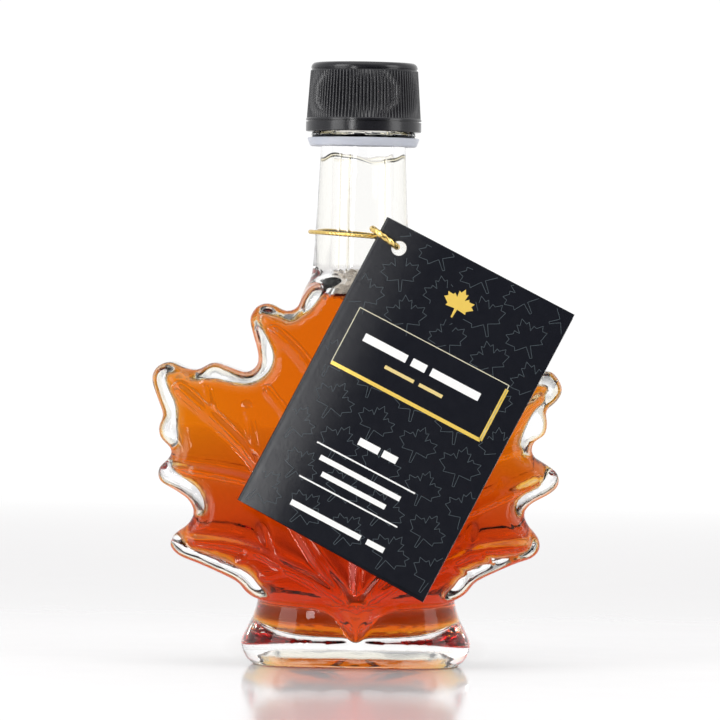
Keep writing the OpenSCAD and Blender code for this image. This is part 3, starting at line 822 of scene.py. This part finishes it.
# %% [markdown]
# The print is laid on the front leaf as hair-thin raised ink. A picture of a label would need a file, so
# each colour of ink is a mesh of small flat shapes instead: a grey pattern of leaf outlines, a gold
# leaf, a framed panel with gold edges, and plain bars where words would go. Each shape is laid on the
# bowed card point by point, and lines are cut into short strips so that they follow the bow.

# %% Print
half_leaf = [(0, 1.0), (0.15, 0.72), (0.29, 0.78), (0.25, 0.38), (0.45, 0.56), (0.53, 0.43), (0.86, 0.46),
    (0.76, 0.24), (0.95, 0.1), (0.6, -0.16), (0.64, -0.33), (0.09, -0.27), (0.05, -0.82), (0, -0.82)]
leaf_shape = half_leaf + [(-x, y) for x, y in half_leaf[-2:0:-1]]


def on_card(u, v, lift):
    """A point of the front leaf, u mm from the fold and v mm down from the top."""
    return tag_place @ Vector((u - hole_in, front_y(u) - lift, hole_in - v))


def inked(name, shapes, colour, rough, extra=None, lift=0.06):
    """Thin closed solids of ink from flat shapes of (u, v) points."""
    points, faces = [], []
    for shape in shapes:
        area = sum(a[0] * b[1] - b[0] * a[1] for a, b in zip(shape, shape[1:] + shape[:1]))
        shape = shape if area > 0 else shape[::-1]
        n, s = len(shape), len(points)
        points += [on_card(u, v, lift) for u, v in shape] + [on_card(u, v, -0.1) for u, v in shape]
        faces.append([s + i for i in range(n)])
        faces.append([s + n + i for i in range(n)][::-1])
        faces += [[s + i, s + n + i, s + n + (i + 1) % n, s + (i + 1) % n] for i in range(n)]
    mat = material(name, colour, rough, extra)
    return piece(name, points, faces, mat, smooth=False)


def line_shapes(points, w, closed):
    """Short flat strips along a line, mitred by overlapping their ends."""
    out = []
    ends = points[1:] + points[:1] if closed else points[1:]
    for (ax, ay), (bx, by) in zip(points, ends):
        long = math.hypot(bx - ax, by - ay)
        parts = max(1, int(long / 2.5))
        for k in range(parts):
            p, q = k / parts, (k + 1) / parts
            x0, y0 = ax + (bx - ax) * p, ay + (by - ay) * p
            x1, y1 = ax + (bx - ax) * q, ay + (by - ay) * q
            if not all(0.5 < x < tag_w - 0.4 and 0.4 < y < tag_h - 0.4 for x, y in ((x0, y0), (x1, y1))):
                continue
            if math.hypot((x0 + x1) / 2 - hole_in, (y0 + y1) / 2 - hole_in) < hole_d / 2 + 1.2:
                continue
            nx, ny = -(by - ay) / long * w / 2, (bx - ax) / long * w / 2
            out.append([(x0 + nx, y0 + ny), (x1 + nx, y1 + ny), (x1 - nx, y1 - ny), (x0 - nx, y0 - ny)])
    return out


def leaf_at(u, v, size, turn):
    c, s = math.cos(turn), math.sin(turn)
    return [(u + size * (x * c - y * s), v - size * (x * s + y * c)) for x, y in leaf_shape]


left, top, right, bottom = 3.6, 21.1, 41.8, 35.1      # the framed panel
emblem_u, emblem_v, emblem_size = 23.0, 10.3, 3.9
pattern = []
row = 0
v = 2.0
while v < tag_h + 4:
    u = 3.0 + (5.2 if row % 2 else 0)
    while u < tag_w + 5:
        leaf = leaf_at(u, v, 4.9 + 0.3 * math.sin(u + v), math.radians((row * 47 + u * 31) % 110 - 55))
        pattern += [q for q in line_shapes(leaf, 0.12, True)
            if not (left < q[0][0] < right and top < q[0][1] < bottom)
            and math.hypot(q[0][0] - emblem_u, q[0][1] - emblem_v) > 4.6]
        u += 10.8
    v += 8.2
    row += 1
inked("print_pattern", pattern, (0.040, 0.056, 0.066), 0.5, lift=0.03)
frame_line = line_shapes([(left, bottom), (left, top), (right, top), (right, bottom)], 0.2, False)
inked("print_frame", frame_line, (0.62, 0.58, 0.42), 0.4)
gold_shapes = [leaf_at(emblem_u, emblem_v, emblem_size, 0)]
gold_shapes += line_shapes([(left, bottom), (right, bottom), (right, top + 1)], 0.85, False)
inked("print_gold", gold_shapes, (0.90, 0.63, 0.12), 0.32, {"Metallic": 0.35})


def bars(u, v, long, thick, words):
    """A line of plain bars, one for each word's share of the length."""
    total = sum(words) + 0.35 * (len(words) - 1)
    out, at = [], u
    for w in words:
        q = at + w / total * long
        out += line_shapes([(at, v), (q, v)], thick, False)
        at = q + 0.35 / total * long
    return out


pale = bars(7.6, 26.6, 29.5, 1.9, [3, 1, 3.4])
pale += bars(17.6, 48.0, 9.7, 1.7, [2, 1.4])
for v in (52.6, 61.2):      # a thin rule above and below the pair of bars
    pale += line_shapes([(9.3, v), (34.4, v)], 0.35, False)
pale += bars(11.5, 55.3, 20.5, 1.2, [1]) + bars(13.6, 58.5, 16.3, 1.2, [1])
pale += bars(10.4, 67.3, 23.8, 1.3, [4, 1])
inked("print_bars", pale, (0.82, 0.82, 0.80), 0.5)
inked("print_small_bars", bars(14.9, 30.4, 14.7, 0.8, [2, 1.6]), (0.70, 0.55, 0.22), 0.4)

# %% [markdown]
# ## The studio
# One pale glossy sheet lies flat, bends up behind in a quarter circle and stands as a wall, so no line
# shows where the table ends. It lies a hair below the foot, so that the two never share a face.

# %% Table and wall
table_z, bend_y, bend_r, wall_top, half_span = -0.00005, 1.0, 0.4, 2.0, 2.0
sheet = [(y, table_z) for y in (-0.42, 0.0, 0.5, bend_y)]
bend = np.radians(np.arange(10, 91, 10))
sheet += [(bend_y + bend_r * math.sin(a), bend_r - bend_r * math.cos(a)) for a in bend]
sheet += [(bend_y + bend_r, wall_top)]
mesh = bpy.data.meshes.new("sweep")
mesh.from_pydata([(x, y, z) for y, z in sheet for x in (-half_span, half_span)], [],
    [(2 * i, 2 * i + 1, 2 * i + 3, 2 * i + 2) for i in range(len(sheet) - 1)])
for p in mesh.polygons:
    p.use_smooth = True
sweep = bpy.data.objects.new("sweep", mesh)
bpy.context.scene.collection.objects.link(sweep)
print("sheet of", len(mesh.polygons), "strips")

# %% [markdown]
# Further back the sheet glows by itself, which lights the syrup from behind: that is how its colour
# shows at all. Light that has been through syrup would leave a warm dim patch on the table behind the
# bottle. It is painted, because light bent by thick glass is slow for a renderer to find.

# %% Paper
def along(tree, start, per_metre):
    """0 in front of start, rising to 1 further back."""
    s = tree.nodes.new("ShaderNodeSeparateXYZ")
    tree.links.new(node(tree, "ShaderNodeTexCoord", out="Object").socket, s.inputs[0])
    return ((Value(tree, s.outputs[1]) - start) * per_metre).math("MAXIMUM", 0.0).math("MINIMUM", 1.0)


def paper(t):
    front = mix(t, noise(t, 12, 2.0), (0.72, 0.70, 0.706), (0.74, 0.72, 0.726))
    # Painted light and shade: the paper is paler in front of the bottle, where its shadow and reflection fall,
    # and darker behind it, which tones down the lamps there.
    light_and_shade_paper = mix(t, along(t, 0.0, 5.0), front, (0.585, 0.572, 0.576))
    s = t.nodes.new("ShaderNodeSeparateXYZ")
    t.links.new(node(t, "ShaderNodeTexCoord", out="Object").socket, s.inputs[0])
    x, y = Value(t, s.outputs[0]) / 0.026, (Value(t, s.outputs[1]) - 0.06) / 0.075
    patch = (1.25 - (x * x + y * y).math("SQRT", 0.0)).math("MAXIMUM", 0.0).math("MINIMUM", 0.8)
    return mix(t, patch, light_and_shade_paper, (0.16, 0.085, 0.05))


table_mat = material("sweep", paper, lambda t: noise(t, 40, 3.0) * 0.04 + 0.08, {"Specular IOR Level": 0.4})
wt = table_mat.node_tree
tone = mix(wt, along(wt, 0.28, 1.7), (0.80, 0.785, 0.79), (1.0, 1.0, 1.0))
glow = node(wt, "ShaderNodeEmission", inputs={"Color": tone, "Strength": 1.03})
share = along(wt, 0.1, 1.4)
blend = wt.nodes.new("ShaderNodeMixShader")
wt.links.new(share.socket, blend.inputs[0])
wt.links.new(next(n for n in wt.nodes if n.type == "BSDF_PRINCIPLED").outputs[0], blend.inputs[1])
wt.links.new(glow.socket, blend.inputs[2])
wt.links.new(blend.outputs[0], next(n for n in wt.nodes if n.type == "OUTPUT_MATERIAL").inputs["Surface"])
mesh.materials.append(table_mat)
print("paper uses", len(wt.nodes), "nodes")

# %% [markdown]
# The room round it is bright behind and overhead and dim in front, so that black card and black plastic
# have little to reflect and stay black.

# %% Room
world = bpy.data.worlds.new("room")
bpy.context.scene.world = world
world.use_nodes = True
sky = world.node_tree
toward = node(sky, "ShaderNodeTexCoord", out="Generated")
split = sky.nodes.new("ShaderNodeSeparateXYZ")
sky.links.new(toward.socket, split.inputs[0])
back = Value(sky, split.outputs[1])
up = Value(sky, split.outputs[2])
share = (back * 1.67 + 1.42 + (up - 0.3).math("MAXIMUM", 0.0)).math("MAXIMUM", 0.0).math("MINIMUM", 1.0)
plug(sky, mix(sky, share, (0.13, 0.13, 0.135), (0.96, 0.965, 0.97)), sky.nodes["Background"].inputs[0])
print("room light uses", len(sky.nodes), "nodes")

# %% [markdown]
# Big soft lights stand left, right and above. A narrow strip on the left is there for the tag alone: it
# is placed where the bowed fold mirrors it and the flat of the card does not.

# %% Lights
def soft_light(name, at, look_at, w, h, power):
    data = bpy.data.lights.new(name, "AREA")
    data.shape, data.size, data.size_y, data.energy = "RECTANGLE", w, h, power
    o = bpy.data.objects.new(name, data)
    o.location = at
    o.rotation_euler = (Vector(look_at) - Vector(at)).to_track_quat("-Z", "Y").to_euler()
    bpy.context.scene.collection.objects.link(o)
    print(name, power, "W")


soft_light("left_box", (-0.75, -0.55, 0.45), (0, 0, 0.08), 0.5, 0.8, 5.5)
soft_light("low_strip", (-0.41, -0.95, 0.22), (0, 0, 0.07), 0.14, 0.25, 1.6)
soft_light("right_box", (0.8, -0.35, 0.35), (0, 0, 0.08), 0.4, 0.8, 3.2)
soft_light("top_box", (0.0, -0.1, 0.9), (0, 0, 0.05), 0.8, 0.6, 1.2)

# %% [markdown]
# ## The camera
# A long lens a good step back shows the leaf flat on, with little perspective. It stands level with
# the shoulder and leans a touch off upright.

# %% Camera
cam = bpy.data.objects.new("camera", bpy.data.cameras.new("camera"))
bpy.context.scene.collection.objects.link(cam)
cam.data.lens, cam.data.sensor_width = 261.0, 36.0
cam.location = (0, -1.2, 0.0915)
aim = (Vector((0, 0, 0.070)) - cam.location).to_track_quat("-Z", "Y").to_matrix()
cam.rotation_euler = (aim @ Matrix.Rotation(math.radians(0.89), 3, "Z")).to_euler()
cam.data.clip_start, cam.data.clip_end = 0.05, 20
cam.data.dof.use_dof = False
bpy.context.scene.camera = cam
bpy.context.scene.view_settings.view_transform = "Standard"
print("camera at", tuple(round(v, 3) for v in cam.location))
